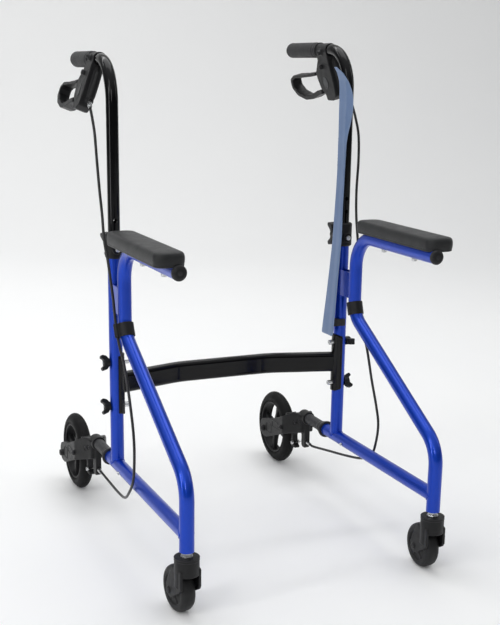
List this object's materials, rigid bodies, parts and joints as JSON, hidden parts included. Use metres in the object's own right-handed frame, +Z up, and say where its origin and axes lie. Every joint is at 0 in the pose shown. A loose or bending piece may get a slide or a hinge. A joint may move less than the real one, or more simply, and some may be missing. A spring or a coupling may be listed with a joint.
{
  "type": "walking frame",
  "caption": "Open three-sided walking frame with height-adjustable braked handles, padded armrests, bowed crossbar, braked front wheels, swivel castors and a clipped-on shoehorn.",
  "frame": {"origin": "on the floor, below the middle of the whole frame", "axes": "+Z up, +X to the user's right, +Y the way the user walks"},
  "size_m": [0.5494, 0.753, 0.924],
  "materials": {
    "blue_tube": "gloss powder coat",
    "black_tube": "gloss powder coat",
    "steel": "bright zinc plate",
    "pad_vinyl": "fine grained vinyl over foam",
    "grip_rubber": "matt",
    "cable_sleeve": "satin",
    "tyre": "matt rubber",
    "castor_tyre": "satin rubber",
    "shoehorn_plastic": "satin",
    "black_screw": "black oxide",
    "black_plastic": "fine moulded grain"
  },
  "bodies": {
    "frame": {"left_post": "blue_tube", "right_post": "blue_tube", "left_arm_tube": "blue_tube", "right_arm_tube": "blue_tube", "left_base_tube": "blue_tube", "right_base_tube": "blue_tube", "gusset_plates": "blue_tube", "height_collars": "black_plastic", "frame_bolts": "steel", "tube_plugs": "black_plastic", "left_armrest_pad": "pad_vinyl", "right_armrest_pad": "pad_vinyl", "pad_screws": "steel", "cable_clips": "black_plastic", "crossbar": "black_tube", "crossbar_saddles": "black_tube", "stem_bushes": "black_plastic", "wheel_stems": "black_plastic", "left_wheel_fork": "black_plastic", "right_wheel_fork": "black_plastic", "fork_screws": "black_screw", "wheel_axles": "steel", "cable_stops": "steel", "left_lower_cable": "cable_sleeve", "right_lower_cable": "cable_sleeve", "castor_stems": "steel", "shoehorn_clip": "black_plastic"},
    "left_handle": {"left_handle_tube": "black_tube", "left_grip": "grip_rubber", "left_brake_housing": "black_plastic", "left_housing_screws": "black_screw", "left_cable_adjuster": "steel", "left_upper_cable": "cable_sleeve"},
    "left_lever": {"left_brake_lever": "black_plastic"},
    "left_height_knob_body": {"left_height_knob": "black_plastic"},
    "left_upper_bar_knob_body": {"left_upper_bar_knob": "black_plastic"},
    "left_lower_bar_knob_body": {"left_lower_bar_knob": "black_plastic"},
    "left_crank": {"left_brake_arm": "black_plastic"},
    "left_wheel": {"left_tyre": "tyre", "left_rim": "black_plastic"},
    "left_castor": {"left_castor_fork": "black_plastic"},
    "left_castor_roller": {"left_castor_wheel": "castor_tyre"},
    "left_button": {"left_snap_button": "steel"},
    "right_handle": {"right_handle_tube": "black_tube", "right_grip": "grip_rubber", "right_brake_housing": "black_plastic", "right_housing_screws": "black_screw", "right_cable_adjuster": "steel", "right_upper_cable": "cable_sleeve"},
    "right_lever": {"right_brake_lever": "black_plastic"},
    "right_height_knob_body": {"right_height_knob": "black_plastic"},
    "right_upper_bar_knob_body": {"right_upper_bar_knob": "black_plastic"},
    "right_lower_bar_knob_body": {"right_lower_bar_knob": "black_plastic"},
    "right_crank": {"right_brake_arm": "black_plastic"},
    "right_wheel": {"right_tyre": "tyre", "right_rim": "black_plastic"},
    "right_castor": {"right_castor_fork": "black_plastic"},
    "right_castor_roller": {"right_castor_wheel": "castor_tyre"},
    "right_button": {"right_snap_button": "steel"},
    "shoehorn_body": {"shoehorn": "shoehorn_plastic"}
  },
  "joints": [
    {"name": "left_handle_height", "type": "slide", "parent": "frame", "child": "left_handle", "axis": [0, 0, 1], "range_m": [-0.05, 0.075], "deforming": ["left_upper_cable"]},
    {"name": "left_lever_squeeze", "type": "hinge", "parent": "left_handle", "child": "left_lever", "pos_m": [-0.24108, 0.11931, 0.85599], "axis": [0.933, -0.0326, -0.3584], "range_deg": [0, 10], "stiffness_Nm_per_rad": 1, "springref_deg": -5.73},
    {"name": "left_height_knob_turn", "type": "hinge", "parent": "frame", "child": "left_height_knob_body", "pos_m": [-0.234, 0.044, 0.555], "axis": [0, 1, 0], "continuous": true},
    {"name": "left_upper_bar_knob_turn", "type": "hinge", "parent": "frame", "child": "left_upper_bar_knob_body", "pos_m": [-0.254, 0.014, 0.343], "axis": [1, 0, 0], "continuous": true},
    {"name": "left_lower_bar_knob_turn", "type": "hinge", "parent": "frame", "child": "left_lower_bar_knob_body", "pos_m": [-0.254, 0.014, 0.259], "axis": [1, 0, 0], "continuous": true},
    {"name": "left_brake_arm_turn", "type": "hinge", "parent": "frame", "child": "left_crank", "pos_m": [-0.234, 0.204, 0.109], "axis": [-1, 0, 0], "range_deg": [0, 2.4]},
    {"name": "left_wheel_spin", "type": "hinge", "parent": "frame", "child": "left_wheel", "pos_m": [-0.234, 0.297, 0.08], "axis": [1, 0, 0], "continuous": true},
    {"name": "left_castor_swivel", "type": "hinge", "parent": "frame", "child": "left_castor", "pos_m": [-0.234, -0.355, 0.1], "axis": [0, 0, 1], "continuous": true},
    {"name": "left_castor_spin", "type": "hinge", "parent": "left_castor", "child": "left_castor_roller", "pos_m": [-0.23693, -0.32715, 0.04], "axis": [0.9945, 0.1045, 0], "continuous": true},
    {"name": "left_button_press", "type": "slide", "parent": "frame", "child": "left_button", "axis": [0.9659, 0, 0.2588], "range_m": [0, 0.003], "stiffness_N_per_m": 400, "springref_m": -0.004},
    {"name": "right_handle_height", "type": "slide", "parent": "frame", "child": "right_handle", "axis": [0, 0, 1], "range_m": [-0.075, 0.05], "deforming": ["right_upper_cable"]},
    {"name": "right_lever_squeeze", "type": "hinge", "parent": "right_handle", "child": "right_lever", "pos_m": [0.24177, 0.119, 0.88002], "axis": [0.9659, 0, 0.2588], "range_deg": [0, 10], "stiffness_Nm_per_rad": 1, "springref_deg": -5.73},
    {"name": "right_height_knob_turn", "type": "hinge", "parent": "frame", "child": "right_height_knob_body", "pos_m": [0.234, 0.044, 0.555], "axis": [0, 1, 0], "continuous": true},
    {"name": "right_upper_bar_knob_turn", "type": "hinge", "parent": "frame", "child": "right_upper_bar_knob_body", "pos_m": [0.254, 0.014, 0.343], "axis": [1, 0, 0], "continuous": true},
    {"name": "right_lower_bar_knob_turn", "type": "hinge", "parent": "frame", "child": "right_lower_bar_knob_body", "pos_m": [0.254, 0.014, 0.259], "axis": [1, 0, 0], "continuous": true},
    {"name": "right_brake_arm_turn", "type": "hinge", "parent": "frame", "child": "right_crank", "pos_m": [0.234, 0.204, 0.109], "axis": [-1, 0, 0], "range_deg": [0, 2.4]},
    {"name": "right_wheel_spin", "type": "hinge", "parent": "frame", "child": "right_wheel", "pos_m": [0.234, 0.297, 0.08], "axis": [1, 0, 0], "continuous": true},
    {"name": "right_castor_swivel", "type": "hinge", "parent": "frame", "child": "right_castor", "pos_m": [0.234, -0.355, 0.1], "axis": [0, 0, 1], "continuous": true},
    {"name": "right_castor_spin", "type": "hinge", "parent": "right_castor", "child": "right_castor_roller", "pos_m": [0.23498, -0.32702, 0.04], "axis": [0.9994, -0.0349, 0], "continuous": true},
    {"name": "right_button_press", "type": "slide", "parent": "frame", "child": "right_button", "axis": [0.9659, 0, 0.2588], "range_m": [0, 0.003], "stiffness_N_per_m": 400, "springref_m": -0.004},
    {"name": "shoehorn_pull", "type": "slide", "parent": "frame", "child": "shoehorn_body", "axis": [-1, 0, 0], "range_m": [0, 0.06]}
  ],
  "couplings": [
    {"joint": "left_brake_arm_turn", "follows": "left_lever_squeeze", "ratio": 0.24},
    {"joint": "right_brake_arm_turn", "follows": "right_lever_squeeze", "ratio": 0.24}
  ]
}
